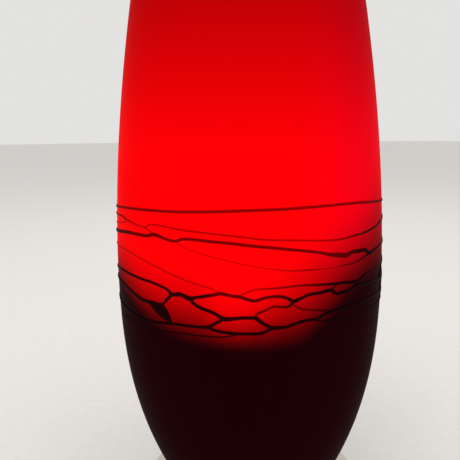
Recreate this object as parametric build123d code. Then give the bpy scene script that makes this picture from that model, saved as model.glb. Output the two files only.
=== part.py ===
from build123d import *
import math
import os

# Tall art glass lamp: a blown red vase with black trailed threads, open at the top, clamped on
# a low metal foot, with one screw-in bulb on a threaded stem inside the glass.
# Millimetres, +Z up, the lamp's front towards -Y. The origin is the centre of the felt under
# the foot, so the lamp stands on the plane z = 0.

# Foot
felt_thickness = 1.5
felt_inset = 5.0            # felt's edge inside the foot's rim
cover_thickness = 1.2
base_height = 22.0          # table to the top face of the foot
base_rim_radius = 85.0      # the foot's lowest edge
base_top_radius = 82.0      # where the wall would meet the top face
base_edge_round = 4.0
base_sheet = 1.5
fit_gap = 0.3               # between pieces that are put together loosely
wiring_space = 30.0         # from the top of the wall inwards to the ballast
ballast_web = 6.0           # iron above the nut recess
nut_recess_radius = 20.0
wiring_pocket_width = 32.0  # notch in the ballast behind the terminal block
wiring_pocket_depth = 8.0
lead_groove_width = 8.0
lead_groove_depth = 6.0
cover_screw_inset = 14.0    # inside the ballast's edge
cover_screw_radius = 2.0
cover_screw_head_radius = 4.0
cover_screw_length = 10.0
cover_screw_count = 3

# Cord inlet in the rear wall of the foot
inlet_bore_radius = 3.5
grommet_neck_radius = 6.0
grommet_flange_radius = 8.0
grommet_flange = 0.33       # at its thinnest, where the wall leans into it

# Terminal block
block_width = 26.0
block_depth = 13.0
block_height = 12.0
block_inset = 16.0          # its middle inside the top of the wall
block_wire_depth = 9.0      # wire holes below the shell's ceiling
block_way_pitch = 8.0
block_screw_radius = 1.8
block_screw_head = 1.2

# Push switch
switch_inset = 15.0
switch_angle = 40.0         # from +X towards the rear
switch_body_radius = 7.0
switch_body_height = 12.0
switch_bush_radius = 6.0
switch_bush_height = 3.0    # above the top face of the foot
switch_nut_radius = 8.5
switch_nut_height = 2.4
switch_floor = 2.0
button_radius = 4.4
button_height = 5.0         # above the bush
button_travel = 2.5
running_fit = 0.08

# Earth connection
earth_inset = 16.0
earth_angle = 128.0
earth_stud_radius = 2.0
earth_stud_length = 9.0
earth_tag_radius = 4.5
earth_tag_thickness = 0.8
earth_tongue_length = 9.0
earth_tongue_width = 3.0
earth_nut_height = 3.2
earth_nut_across = 7.0

# Stem, with the nuts that clamp the foot and the glass
stem_radius = 5.0
stem_bore_radius = 3.4
stem_clearance = 0.25
thread_fit = 0.02
lock_nut_across = 14.0
lock_nut_height = 3.0
lock_washer_radius = 12.0
lock_washer_thickness = 1.0
stem_overhang = 1.0         # stem below its lock nut
holder_rise = 82.0          # top face of the foot to the lampholder
seat_gasket_thickness = 1.5
seat_gasket_inner = 14.0
floor_gasket_thickness = 1.5
floor_gasket_radius = 24.0
clamp_washer_radius = 22.0
clamp_washer_thickness = 2.0
clamp_nut_across = 17.0
clamp_nut_height = 5.0

# Glass
ring_radius = 90.0          # widest circle
foot_radius = 48.0
mouth_radius = 66.0
ring_height = 165.0         # underside of the glass to the widest circle
crown_height = 211.5        # widest circle to the mouth
belly_power = 2.42          # how late the wall turns in, below and above the widest circle
shoulder_power = 1.85
glass_wall = 4.0
glass_floor = 8.0
foot_round = 6.0
floor_round = 12.0
mouth_round = 1.9
glass_hole_radius = 7.25
outline_steps = 6           # points of each half of the outline

# Black threads on the glass
thread_radius = 1.1
thread_stand_off = 0.25     # thread's centre outside the glass surface
thread_step = 10.0          # degrees of the circle to one straight piece

# Lampholder (E27)
holder_radius = 20.0
holder_wall = 1.8
holder_neck_radius = 8.0
holder_neck_height = 6.0
holder_dome_height = 14.0   # neck to the sleeve's lower edge
holder_spigot_height = 6.0
holder_thread_length = 10.0
insert_thickness = 10.0
insert_hole_radius = 1.6
skirt_height = 40.0
skirt_lip_radius = 15.0
skirt_lip_thickness = 4.0
shell_inner_radius = 13.4
shell_sheet = 0.4
shell_height = 24.0
shell_flange_radius = 15.5
contact_rise = 3.7
contact_sheet = 0.6
contact_width = 5.0
terminal_offset = 9.0
terminal_width = 5.0
terminal_height = 4.0

# Bulb (E27)
cap_radius = 13.0
cap_sheet = 0.5
cap_length = 19.0
pip_radius = 4.5
pip_height = 1.5
insulator_height = 4.0
cap_body_gap = 0.3
bulb_neck_length = 12.0
bulb_shoulder_radius = 15.0
bulb_body_radius = 28.5
bulb_body_height = 43.0
bulb_body_wall = 2.2
led_ledge = 3.0
led_plate_thickness = 1.6
chip_count = 12
chip_circle = 15.0
chip_width = 3.0
chip_height = 0.8
driver_width = 19.0
driver_thickness = 1.6
driver_height = 36.0
dome_radius = 30.0
dome_wall = 1.2

# Wires
lead_radius = 1.0
lead_spacing = 1.3          # each lead's distance from the middle of groove and stem
lead_clearance = 2.5        # lead's centre above the cover, in the groove
lead_grip = 4.0             # inside the terminal block
lead_track = 5.0            # lead's centre outside the ballast's edge
lead_climb = 1.5            # step in height along the wiring space
stem_entry_bend = 8.0       # room for the turn up into the stem

# Places that follow from the sizes above
ballast_radius = base_top_radius - wiring_space
cover_screw_circle = ballast_radius - cover_screw_inset
block_distance = base_top_radius - block_inset
switch_distance = base_top_radius - switch_inset
earth_distance = base_top_radius - earth_inset
seat_gasket_outer = foot_radius - foot_round
inlet_height = (felt_thickness + base_height) / 2
cover_top = felt_thickness + cover_thickness
lead_height = cover_top + lead_clearance
shell_ceiling = base_height - base_sheet
block_wire_z = shell_ceiling - block_wire_depth
recess_ceiling = shell_ceiling - ballast_web
stem_bottom = recess_ceiling - lock_washer_thickness - lock_nut_height - stem_overhang
glass_bottom = base_height + seat_gasket_thickness
ring_z = glass_bottom + ring_height
mouth_z = ring_z + crown_height
clamp_bottom = glass_bottom + glass_floor + floor_gasket_thickness
holder_z = base_height + holder_rise
sleeve_z = holder_z + holder_neck_height + holder_dome_height
insert_z = sleeve_z + holder_spigot_height
insert_top = insert_z + insert_thickness
pip_z = insert_top + contact_rise + fit_gap
cap_z = pip_z + pip_height + insulator_height
body_z = cap_z + cap_length + cap_body_gap
rim_z = body_z + bulb_body_height


def cylinder(radius, low, high):
    return Pos(0, 0, low) * Cylinder(radius, high - low, align=(Align.CENTER, Align.CENTER, Align.MIN))


def ring(inner, outer, low, high):
    return cylinder(outer, low, high) - cylinder(inner, low - 1, high + 1)


def block(width, depth, low, high):
    return Pos(0, 0, low) * Box(width, depth, high - low, align=(Align.CENTER, Align.CENTER, Align.MIN))


def turned(*outline):
    """Solid turned about the Z axis from the corners (radius, height) of its half section."""
    return revolve(Plane.XZ * make_face(Polyline(*outline, close=True)), Axis.Z)


def hex_nut(across, hole, low, high):
    nut = extrude(Pos(0, 0, low) * RegularPolygon(across / math.sqrt(3), 6), high - low)
    return nut - cylinder(hole, low - 1, high + 1)


def at_polar(distance, degrees):
    return Pos(distance * math.cos(math.radians(degrees)), distance * math.sin(math.radians(degrees)), 0)


def largest_bend(before, corner, after):
    """Radius of the arc that takes up 0.45 of the shorter of two straight runs."""
    run_in, run_out = corner - before, after - corner
    return 0.45 * min(run_in.length, run_out.length) / math.tan(math.radians(run_in.get_angle(run_out)) / 2)


def round_tube(name, path, radius):
    tube = sweep(Plane(path @ 0, z_dir=path % 0) * Circle(radius), path=path)
    length = sum(edge.length for edge in path.edges())
    print(name, "volume share", round(tube.volume / (math.pi * radius ** 2 * length), 4))
    return tube


def lead(name, points):
    """Wire along straight runs joined by tangent arcs. A point's fourth value limits its arc."""
    corners = [Vector(*point[:3]) for point in points]
    rooms = [point[3] if len(point) == 4 else math.inf for point in points]
    bends = [min(room, largest_bend(*three))
             for room, three in zip(rooms[1:], zip(corners, corners[1:], corners[2:]))]
    print(name, "radii", [round(bend, 1) for bend in bends])
    return round_tube(name, FilletPolyline(*corners, radius=bends), lead_radius)


# Foot

def foot_wall_radius(height):
    """Outer radius of the foot's sloping wall at a height above the table."""
    share = (height - felt_thickness) / (base_height - felt_thickness)
    return base_rim_radius + (base_top_radius - base_rim_radius) * share


def foot_envelope(inset):
    """The foot as a solid, or the space inside its sheet when inset by the sheet's thickness."""
    solid = turned((0, felt_thickness), (base_rim_radius - inset, felt_thickness),
                   (base_top_radius - inset, base_height - inset), (0, base_height - inset))
    edge = solid.edges().filter_by(GeomType.CIRCLE).sort_by(Axis.Z)[-1]
    return fillet(edge, base_edge_round - inset)


def make_base_shell():
    shell = foot_envelope(0) - foot_envelope(base_sheet)
    shell -= cylinder(stem_radius + stem_clearance, shell_ceiling - 1, base_height + 1)
    shell -= at_polar(switch_distance, switch_angle) * cylinder(
        switch_bush_radius + fit_gap, shell_ceiling - 1, base_height + 1)
    inlet = Cylinder(grommet_neck_radius, base_rim_radius, align=(Align.CENTER, Align.CENTER, Align.MIN))
    return shell - Pos(0, 0, inlet_height) * Rot(-90, 0, 0) * Pos(0, 0, base_top_radius / 2) * inlet


def cover_screw_places():
    return [Rot(0, 0, 360 / cover_screw_count * i - 90) * Pos(cover_screw_circle, 0, 0)
            for i in range(cover_screw_count)]


def make_ballast():
    iron = cylinder(ballast_radius, cover_top, shell_ceiling)
    iron -= cylinder(nut_recess_radius, cover_top - 1, recess_ceiling)
    iron -= cylinder(stem_radius + stem_clearance, cover_top, shell_ceiling + 1)
    pocket = block(wiring_pocket_width, wiring_pocket_depth * 2, cover_top - 1, shell_ceiling + 1)
    iron -= Pos(0, ballast_radius, 0) * pocket
    groove = block(lead_groove_width, ballast_radius, cover_top - 1, cover_top + lead_groove_depth)
    iron -= Pos(0, ballast_radius / 2, 0) * groove
    for place in cover_screw_places():
        iron -= place * cover_screw(thread_fit)
    return iron


def make_base_cover():
    cover = cylinder(base_rim_radius - base_sheet - fit_gap * 2, felt_thickness, cover_top)
    for place in cover_screw_places():
        cover -= place * cover_screw(fit_gap / 3)
    return cover


def cover_screw(growth=0.0):
    """Countersunk screw, or the seat for it when grown."""
    head_depth = cover_screw_head_radius - cover_screw_radius
    return turned((0, felt_thickness), (cover_screw_head_radius + growth, felt_thickness),
                  (cover_screw_radius + growth, felt_thickness + head_depth),
                  (cover_screw_radius + growth, felt_thickness + cover_screw_length),
                  (0, felt_thickness + cover_screw_length))


def make_cover_screws():
    socket = cylinder(cover_screw_radius * 0.6, felt_thickness - 1, felt_thickness + cover_thickness)
    return Compound(children=[place * (cover_screw() - socket) for place in cover_screw_places()])


def make_felt_pad():
    felt = cylinder(base_rim_radius - felt_inset, 0, felt_thickness)
    for place in cover_screw_places():
        felt -= place * cylinder(cover_screw_head_radius + fit_gap * 2, -1, felt_thickness + 1)
    return felt


def make_cord_grommet(shell):
    """Rubber ring in the rear wall, its flanges shaped to both faces of the wall."""
    wall = foot_wall_radius(inlet_height)
    lean = abs(foot_wall_radius(inlet_height + grommet_flange_radius) - wall)
    low, high = wall - base_sheet - lean - grommet_flange, wall + lean + grommet_flange
    flanges = ring(inlet_bore_radius, grommet_flange_radius, low, high)
    placed = Pos(0, 0, inlet_height) * Rot(-90, 0, 0) * flanges
    return placed - shell


def make_terminal_block():
    body = block(block_width, block_depth, shell_ceiling - block_height, shell_ceiling)
    body = Pos(0, block_distance, 0) * body
    for way in (-1, 0, 1):
        hole = Cylinder(lead_radius + running_fit, block_depth * 2)
        body -= Pos(way * block_way_pitch, block_distance, block_wire_z) * Rot(90, 0, 0) * hole
    return body


def make_terminal_screws():
    low = shell_ceiling - block_height
    screw = cylinder(block_screw_radius, low - block_screw_head, low)
    screw -= block(block_screw_radius * 2, block_screw_head / 2, low - block_screw_head - 1, low - block_screw_head / 2)
    return Compound(children=[Pos(way * block_way_pitch, block_distance + side * block_depth / 4, 0) * screw
                              for way in (-1, 0, 1) for side in (-1, 1)])


# Switch

def make_switch_housing():
    body = cylinder(switch_body_radius, shell_ceiling - switch_body_height, shell_ceiling)
    body += cylinder(switch_bush_radius, shell_ceiling, base_height + switch_bush_height)
    bore_low = shell_ceiling - switch_body_height + switch_floor
    body -= cylinder(button_radius + running_fit, bore_low, base_height + switch_bush_height + 1)
    return at_polar(switch_distance, switch_angle) * body


def make_switch_nut():
    nut = ring(switch_bush_radius + thread_fit, switch_nut_radius, base_height, base_height + switch_nut_height)
    rim = nut.edges().filter_by(GeomType.CIRCLE).group_by(Axis.Z)[-1].sort_by(SortBy.RADIUS)[-1]
    return at_polar(switch_distance, switch_angle) * chamfer(rim, switch_nut_height / 5)


def make_switch_button():
    low = shell_ceiling - switch_body_height + switch_floor + button_travel + fit_gap
    button = cylinder(button_radius, low, base_height + switch_bush_height + button_height)
    top = button.edges().filter_by(GeomType.CIRCLE).sort_by(Axis.Z)[-1]
    return at_polar(switch_distance, switch_angle) * fillet(top, button_radius / 4)


# Earth connection

def make_earth_stud():
    return at_polar(earth_distance, earth_angle) * cylinder(
        earth_stud_radius, shell_ceiling - earth_stud_length, shell_ceiling)


def make_earth_tag():
    """Ring round the stud with a tongue towards the lamp's axis, on which the lead ends."""
    low = shell_ceiling - earth_tag_thickness
    tag = cylinder(earth_tag_radius, low, shell_ceiling)
    tag += Pos(-earth_tongue_length / 2, 0, 0) * block(earth_tongue_length, earth_tongue_width, low, shell_ceiling)
    tag -= cylinder(earth_stud_radius + fit_gap, low - 1, shell_ceiling + 1)
    return at_polar(earth_distance, earth_angle) * Rot(0, 0, earth_angle) * tag


def make_earth_nut():
    high = shell_ceiling - earth_tag_thickness
    nut = hex_nut(earth_nut_across, earth_stud_radius + thread_fit, high - earth_nut_height, high)
    return at_polar(earth_distance, earth_angle) * nut


# Stem and clamping

def make_stem_tube():
    return ring(stem_bore_radius, stem_radius, stem_bottom, holder_z + holder_thread_length)


def make_stem_washer():
    return ring(stem_radius + stem_clearance, lock_washer_radius,
                recess_ceiling - lock_washer_thickness, recess_ceiling)


def make_stem_nut():
    high = recess_ceiling - lock_washer_thickness
    return hex_nut(lock_nut_across, stem_radius + thread_fit, high - lock_nut_height, high)


def make_seat_gasket():
    return ring(seat_gasket_inner, seat_gasket_outer, base_height, glass_bottom)


def make_floor_gasket():
    """Disc on the glass floor with a collar that keeps the glass off the stem."""
    flange = ring(stem_radius + stem_clearance, floor_gasket_radius, clamp_bottom - floor_gasket_thickness, clamp_bottom)
    collar = ring(stem_radius + stem_clearance, glass_hole_radius - running_fit,
                  glass_bottom + glass_floor / 4, clamp_bottom - floor_gasket_thickness)
    return flange + collar


def make_clamp_washer():
    return ring(stem_radius + stem_clearance, clamp_washer_radius,
                clamp_bottom, clamp_bottom + clamp_washer_thickness)


def make_clamp_nut():
    low = clamp_bottom + clamp_washer_thickness
    return hex_nut(clamp_nut_across, stem_radius + thread_fit, low, low + clamp_nut_height)


# Glass

def glass_radius(height):
    """Outer radius at a height above the table: two power curves that meet at the widest circle."""
    if height < ring_z:
        share = (ring_z - height) / ring_height
        return ring_radius - (ring_radius - foot_radius) * share ** belly_power
    share = (height - ring_z) / crown_height
    return ring_radius - (ring_radius - mouth_radius) * share ** shoulder_power


def glass_envelope(inset, low, high):
    """The vase as a solid between two heights, its wall moved inwards by inset."""
    heights = [low + (ring_z - low) * i / outline_steps for i in range(outline_steps)]
    heights += [ring_z + (high - ring_z) * i / outline_steps for i in range(outline_steps + 1)]
    wall = Spline(*[(glass_radius(z) - inset, z) for z in heights])
    rest = Polyline(wall @ 1, (0, high), (0, low), wall @ 0)
    return revolve(Plane.XZ * make_face([wall, rest]), Axis.Z)


def make_glass_body():
    outside = glass_envelope(0, glass_bottom, mouth_z)
    foot = outside.edges().filter_by(GeomType.CIRCLE).sort_by(Axis.Z)[0]
    outside = fillet(foot, foot_round)
    inside = glass_envelope(glass_wall, glass_bottom + glass_floor, mouth_z)
    floor = inside.edges().filter_by(GeomType.CIRCLE).sort_by(Axis.Z)[0]
    inside = fillet(floor, floor_round)
    glass = outside - inside
    mouth = glass.edges().filter_by(GeomType.CIRCLE).group_by(Axis.Z)[-1]
    glass = fillet(mouth, mouth_round)
    return glass - cylinder(glass_hole_radius, glass_bottom - 1, glass_bottom + glass_floor + 1)


# Each trail goes once round the glass and starts and ends at the back. Its places are
# (degrees from the front towards +X, millimetres above the widest circle).
thread_trails = {
    "upper": [(-178, 50), (-120, 52), (-75, 52), (-40, 56), (0, 59), (35, 60), (70, 57), (120, 53), (178, 50)],
    "second": [(-170, 35), (-110, 36), (-72, 38), (-48, 41), (-28, 42), (0, 41), (16, 38), (30, 33),
               (52, 29), (66, 28), (100, 31), (140, 36), (186, 33)],
    "web_top": [(-175, 17), (-145, 13), (-100, 16), (-74, 12), (-54, 15), (-32, 13), (-20, 9), (-11, 15),
                (4, 12), (14, 10), (25, 14), (42, 12), (60, 17), (90, 21), (130, 14), (181, 18)],
    "web_low": [(-186, -2), (-150, -6), (-120, -3), (-85, -9), (-49, -12), (-28, -6), (-15, -5), (-6, -7),
                (5, -6), (23, -2), (31, 1), (51, 4), (80, 2), (120, -4), (170, -1)],
}


def on_glass(degrees, above_ring):
    """Point of a thread's centre line."""
    height = ring_z + above_ring
    radius = glass_radius(height) + thread_stand_off
    angle = math.radians(degrees)
    return Vector(radius * math.sin(angle), -radius * math.cos(angle), height)


def thread_path(places):
    """The trail's places, with points between them so that each straight piece hugs the glass."""
    points = [on_glass(*places[0])]
    for here, there in zip(places, places[1:]):
        steps = math.ceil((there[0] - here[0]) / thread_step)
        for i in range(1, steps + 1):
            share = i / steps
            points.append(on_glass(here[0] + (there[0] - here[0]) * share, here[1] + (there[1] - here[1]) * share))
    bends = [largest_bend(*three) for three in zip(points, points[1:], points[2:])]
    return FilletPolyline(*points, radius=bends)


def make_glass_threads():
    return Compound(children=[round_tube("thread " + name, thread_path(places), thread_radius)
                              for name, places in thread_trails.items()])


# Lampholder

def make_holder_dome():
    spigot = holder_radius - holder_wall - thread_fit
    outside = turned((0, holder_z), (holder_neck_radius, holder_z),
                     (holder_neck_radius, holder_z + holder_neck_height),
                     (holder_radius, sleeve_z - 3), (holder_radius, sleeve_z),
                     (spigot, sleeve_z), (spigot, insert_z), (0, insert_z))
    hollow = holder_z + holder_thread_length
    inside = turned((0, hollow), (holder_neck_radius, hollow),
                    (spigot - holder_wall, sleeve_z), (spigot - holder_wall, insert_z + 1), (0, insert_z + 1))
    return outside - inside - cylinder(stem_radius + thread_fit, holder_z - 1, hollow + 1)


def make_holder_skirt():
    high = sleeve_z + skirt_height
    skirt = ring(holder_radius - holder_wall, holder_radius, sleeve_z, high)
    skirt += ring(skirt_lip_radius, holder_radius - holder_wall, high - skirt_lip_thickness, high)
    edge = skirt.edges().filter_by(GeomType.CIRCLE).group_by(Axis.Z)[-1].sort_by(SortBy.RADIUS)[-1]
    return fillet(edge, holder_wall)


def make_holder_insert():
    insert = cylinder(holder_radius - holder_wall - fit_gap, insert_z, insert_top)
    for side in (-1, 1):
        insert -= Pos(side * terminal_offset, 0, 0) * cylinder(insert_hole_radius, insert_z - 1, insert_top + 1)
    return insert


def make_screw_shell():
    shell = ring(shell_inner_radius, shell_inner_radius + shell_sheet, insert_top, insert_top + shell_height)
    return shell + ring(shell_inner_radius, shell_flange_radius, insert_top, insert_top + shell_sheet)


def make_centre_contact():
    """Strip that lies on the insert, rises and ends flat under the bulb's contact."""
    reach = terminal_offset + terminal_width / 2
    top = insert_top + contact_rise
    strip = Polyline((-reach, insert_top), (-pip_radius * 1.2, insert_top), (-pip_radius / 2, top - contact_sheet),
                     (pip_radius / 2, top - contact_sheet), (pip_radius / 2, top), (-pip_radius * 0.6, top),
                     (-pip_radius * 1.3, insert_top + contact_sheet), (-reach, insert_top + contact_sheet),
                     close=True)
    return extrude(Plane.XZ * make_face(strip), contact_width / 2, both=True)


def make_holder_terminals():
    post = block(terminal_width, terminal_width, insert_z - terminal_height, insert_z)
    return Compound(children=[Pos(side * terminal_offset, 0, 0) * post for side in (-1, 1)])


# Bulb

def make_bulb_contact():
    return cylinder(pip_radius, pip_z, pip_z + pip_height)


def make_bulb_insulator():
    return turned((0, pip_z + pip_height), (pip_radius, pip_z + pip_height), (cap_radius - 2, cap_z), (0, cap_z))


def make_bulb_cap():
    bottom = turned((0, cap_z), (cap_radius - 2, cap_z), (cap_radius, cap_z + 2),
                    (cap_radius, cap_z + cap_length), (0, cap_z + cap_length))
    return bottom - cylinder(cap_radius - cap_sheet, cap_z + 2, cap_z + cap_length + 1)


def make_bulb_body():
    """Body that flares from a neck in the cap to the rim that carries the dome."""
    neck = cap_radius - cap_sheet - running_fit
    low = body_z - cap_body_gap - bulb_neck_length
    flare = ThreePointArc((bulb_shoulder_radius, body_z), (bulb_shoulder_radius + 5.5, body_z + 14),
                          (bulb_body_radius, rim_z))
    rest = Polyline(flare @ 1, (0, rim_z), (0, low), (neck, low), (neck, body_z), flare @ 0)
    outside = revolve(Plane.XZ * make_face([flare, rest]), Axis.Z)
    seat = rim_z - led_plate_thickness
    inside = turned((0, low - 1), (neck - bulb_body_wall, low - 1), (neck - bulb_body_wall, body_z + 2),
                    (bulb_body_radius - bulb_body_wall - led_ledge, seat),
                    (bulb_body_radius - bulb_body_wall, seat), (bulb_body_radius - bulb_body_wall, rim_z + 1),
                    (0, rim_z + 1))
    return outside - inside


def make_driver_board():
    low = body_z - bulb_neck_length + 2
    return block(driver_thickness, driver_width, low, low + driver_height)


def make_led_plate():
    return cylinder(bulb_body_radius - bulb_body_wall - fit_gap / 3, rim_z - led_plate_thickness, rim_z)


def make_led_chips():
    chip = Pos(chip_circle, 0, 0) * block(chip_width, chip_width, rim_z, rim_z + chip_height)
    return Compound(children=[Rot(0, 0, 360 / chip_count * i) * chip for i in range(chip_count)])


def make_bulb_dome():
    """Sphere cut off where it is as wide as the body's rim."""
    centre = Pos(0, 0, rim_z + math.sqrt(dome_radius ** 2 - bulb_body_radius ** 2))
    shell = centre * (Sphere(dome_radius) - Sphere(dome_radius - dome_wall))
    return shell - block(dome_radius * 3, dome_radius * 3, rim_z - dome_radius * 2, rim_z)


# Wires inside the foot and the stem

def polar_point(distance, degrees, height):
    position = at_polar(distance, degrees).position
    return (position.X, position.Y, height)


def block_exit(way):
    """First two points of a lead that leaves the terminal block towards the lamp's axis."""
    x, face = way * block_way_pitch, block_distance - block_depth / 2
    return [(x, face + lead_grip, block_wire_z), (x, face - lead_grip / 2, block_wire_z)]


def switch_side(away, height):
    """Point beside the switch housing, on the side that faces the terminal block."""
    x, y, z = polar_point(switch_distance, switch_angle, height)
    reach, turn = switch_body_radius + away, math.radians(switch_angle)
    return (x - reach * math.sin(turn), y + reach * math.cos(turn), z)


def stem_route(side):
    """Route from the ballast's pocket along the groove, up the stem and out to a terminal."""
    x, top = side * lead_spacing, holder_z + holder_thread_length
    return [(x, ballast_radius - wiring_pocket_depth + lead_radius * 2, lead_height),
            (x, 0, lead_height, stem_entry_bend), (x, 0, top + lead_radius * 2),
            (side * terminal_offset, 0, top + lead_radius * 7),
            (side * terminal_offset, 0, insert_z - terminal_height)]


def make_lead_neutral():
    return lead("lead_neutral", block_exit(0) + stem_route(-1))


def make_lead_switched():
    tab = block_wire_z - lead_climb / 3
    return lead("lead_switched", [switch_side(0, tab), switch_side(lead_grip * 1.5, tab),
                                  polar_point(ballast_radius + lead_track, 63, lead_height + lead_climb),
                                  (wiring_pocket_width / 2 - lead_radius * 4, ballast_radius - lead_radius / 2,
                                   lead_height + lead_climb / 2)] + stem_route(1))


def make_lead_live():
    tab = block_wire_z + lead_climb * 3
    return lead("lead_live", block_exit(1) + [
        polar_point(ballast_radius + lead_track, 78, block_wire_z + lead_climb),
        polar_point(ballast_radius + lead_track * 2, 64, block_wire_z + lead_climb * 2),
        switch_side(lead_grip * 2, tab), switch_side(0, tab)])


def make_lead_earth():
    tongue = earth_distance - earth_tongue_length + earth_tongue_width / 2
    end = shell_ceiling - earth_tag_thickness
    return lead("lead_earth", block_exit(-1) + [
        polar_point(ballast_radius + lead_track, 104, block_wire_z + lead_climb / 3),
        polar_point(ballast_radius + lead_track * 1.2, 114, block_wire_z - lead_climb / 3),
        polar_point(tongue, earth_angle, end - lead_grip * 1.5), polar_point(tongue, earth_angle, end)])


base_shell = make_base_shell()
nodes = {
    "base_shell": base_shell,
    "ballast": make_ballast(),
    "base_cover": make_base_cover(),
    "base_cover_screws": make_cover_screws(),
    "felt_pad": make_felt_pad(),
    "cord_grommet": make_cord_grommet(base_shell),
    "terminal_block": make_terminal_block(),
    "terminal_screws": make_terminal_screws(),
    "switch_housing": make_switch_housing(),
    "switch_nut": make_switch_nut(),
    "switch_button": make_switch_button(),
    "earth_stud": make_earth_stud(),
    "earth_tag": make_earth_tag(),
    "earth_nut": make_earth_nut(),
    "stem_tube": make_stem_tube(),
    "stem_washer": make_stem_washer(),
    "stem_nut": make_stem_nut(),
    "seat_gasket": make_seat_gasket(),
    "glass_body": make_glass_body(),
    "glass_threads": make_glass_threads(),
    "floor_gasket": make_floor_gasket(),
    "clamp_washer": make_clamp_washer(),
    "clamp_nut": make_clamp_nut(),
    "holder_dome": make_holder_dome(),
    "holder_skirt": make_holder_skirt(),
    "holder_insert": make_holder_insert(),
    "screw_shell": make_screw_shell(),
    "centre_contact": make_centre_contact(),
    "holder_terminals": make_holder_terminals(),
    "bulb_contact": make_bulb_contact(),
    "bulb_insulator": make_bulb_insulator(),
    "bulb_cap": make_bulb_cap(),
    "bulb_body": make_bulb_body(),
    "driver_board": make_driver_board(),
    "led_plate": make_led_plate(),
    "led_chips": make_led_chips(),
    "bulb_dome": make_bulb_dome(),
    "lead_live": make_lead_live(),
    "lead_switched": make_lead_switched(),
    "lead_neutral": make_lead_neutral(),
    "lead_earth": make_lead_earth(),
}

os.makedirs("parts", exist_ok=True)
for node, shape in nodes.items():
    export_step(shape, f"parts/{node}.step")
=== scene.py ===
import bpy
import math
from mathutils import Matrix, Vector


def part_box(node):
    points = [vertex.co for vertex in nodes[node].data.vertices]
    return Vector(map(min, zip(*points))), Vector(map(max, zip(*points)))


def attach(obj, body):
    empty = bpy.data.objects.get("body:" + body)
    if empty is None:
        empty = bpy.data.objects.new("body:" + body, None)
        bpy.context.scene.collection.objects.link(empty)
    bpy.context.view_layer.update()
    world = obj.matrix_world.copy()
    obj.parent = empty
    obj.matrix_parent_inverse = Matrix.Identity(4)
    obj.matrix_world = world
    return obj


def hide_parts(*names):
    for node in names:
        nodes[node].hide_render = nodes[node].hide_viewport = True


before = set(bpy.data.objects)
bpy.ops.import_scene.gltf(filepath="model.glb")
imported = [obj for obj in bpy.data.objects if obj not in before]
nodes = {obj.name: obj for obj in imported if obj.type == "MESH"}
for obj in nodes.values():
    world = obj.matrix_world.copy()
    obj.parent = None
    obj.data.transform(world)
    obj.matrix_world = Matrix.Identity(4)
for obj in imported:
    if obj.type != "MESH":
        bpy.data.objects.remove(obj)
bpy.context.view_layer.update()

MM = 0.001

# Foot shell and the switch's ring nut. Steel sheet, pressed to a low drum, polished on a lathe and
# nickel plated. The ring nut screws on the switch's bush and holds the switch.


def linear(colour):
    """sRGB hex colour as linear RGBA."""
    parts = [int(colour[i:i + 2], 16) / 255 for i in (1, 3, 5)]
    return (*[c / 12.92 if c <= 0.04045 else ((c + 0.055) / 1.055) ** 2.4 for c in parts], 1)


def add(tree, kind, settings=None, inputs=None):
    """Add a node with its settings. Each input takes a value or another node's output."""
    made = tree.nodes.new(kind)
    for name, value in (settings or {}).items():
        setattr(made, name, value)
    for name, value in (inputs or {}).items():
        if isinstance(value, bpy.types.NodeSocket):
            tree.links.new(value, made.inputs[name])
        else:
            made.inputs[name].default_value = value
    return made


def finish(name, **inputs):
    """New material. Its shader gets the values given, an underscore standing for a space."""
    made = bpy.data.materials.new(name)
    made.use_nodes = True
    shader = made.node_tree.nodes["Principled BSDF"]
    for socket, value in inputs.items():
        shader.inputs[socket.replace("_", " ")].default_value = value
    return made, made.node_tree, shader


def dress(material, *names):
    """Give CAD nodes their finish."""
    for name in names:
        for place in nodes[name].material_slots:
            place.material = material


# Polished nickel: a bright, slightly warm mirror, softened by lines that run round the axis and
# by light smears from handling.
polish_line = 0.6 * MM    # real lines are ten times finer; drawn coarse enough to show
smear_size = 25 * MM
nickel, tree, shader = finish("polished_nickel", Base_Color=linear("#cfc9c0"), Metallic=1.0)
at = add(tree, "ShaderNodeTexCoord").outputs["Object"]
level = add(tree, "ShaderNodeVectorMath", {"operation": "MULTIPLY"}, {0: at, 1: (1, 1, 0)})
across = add(tree, "ShaderNodeVectorMath", {"operation": "LENGTH"}, {0: level.outputs[0]})
apart = add(tree, "ShaderNodeSeparateXYZ", {}, {0: at})
along = add(tree, "ShaderNodeMath", {"operation": "ADD"},
            {0: across.outputs["Value"], 1: apart.outputs["Z"]})
lines = add(tree, "ShaderNodeTexNoise", {"noise_dimensions": "1D"},
            {"W": along.outputs[0], "Scale": 1 / polish_line, "Detail": 3})
smears = add(tree, "ShaderNodeTexNoise", {}, {"Vector": at, "Scale": 1 / smear_size, "Detail": 4})
dull = add(tree, "ShaderNodeMapRange", {},
           {"Value": smears.outputs["Fac"], "From Min": 0.35, "From Max": 0.7,
            "To Min": 0.1, "To Max": 0.24})
relief = add(tree, "ShaderNodeBump", {},
             {"Height": lines.outputs["Fac"], "Strength": 0.12, "Distance": 0.05 * MM})
tree.links.new(dull.outputs["Result"], shader.inputs["Roughness"])
tree.links.new(relief.outputs[0], shader.inputs["Normal"])
dress(nickel, "base_shell", "switch_nut")

# Weight inside the foot. Grey cast iron, left as it came from the sand, with a thin black wash.
# It gives the tall glass its stand.


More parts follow.
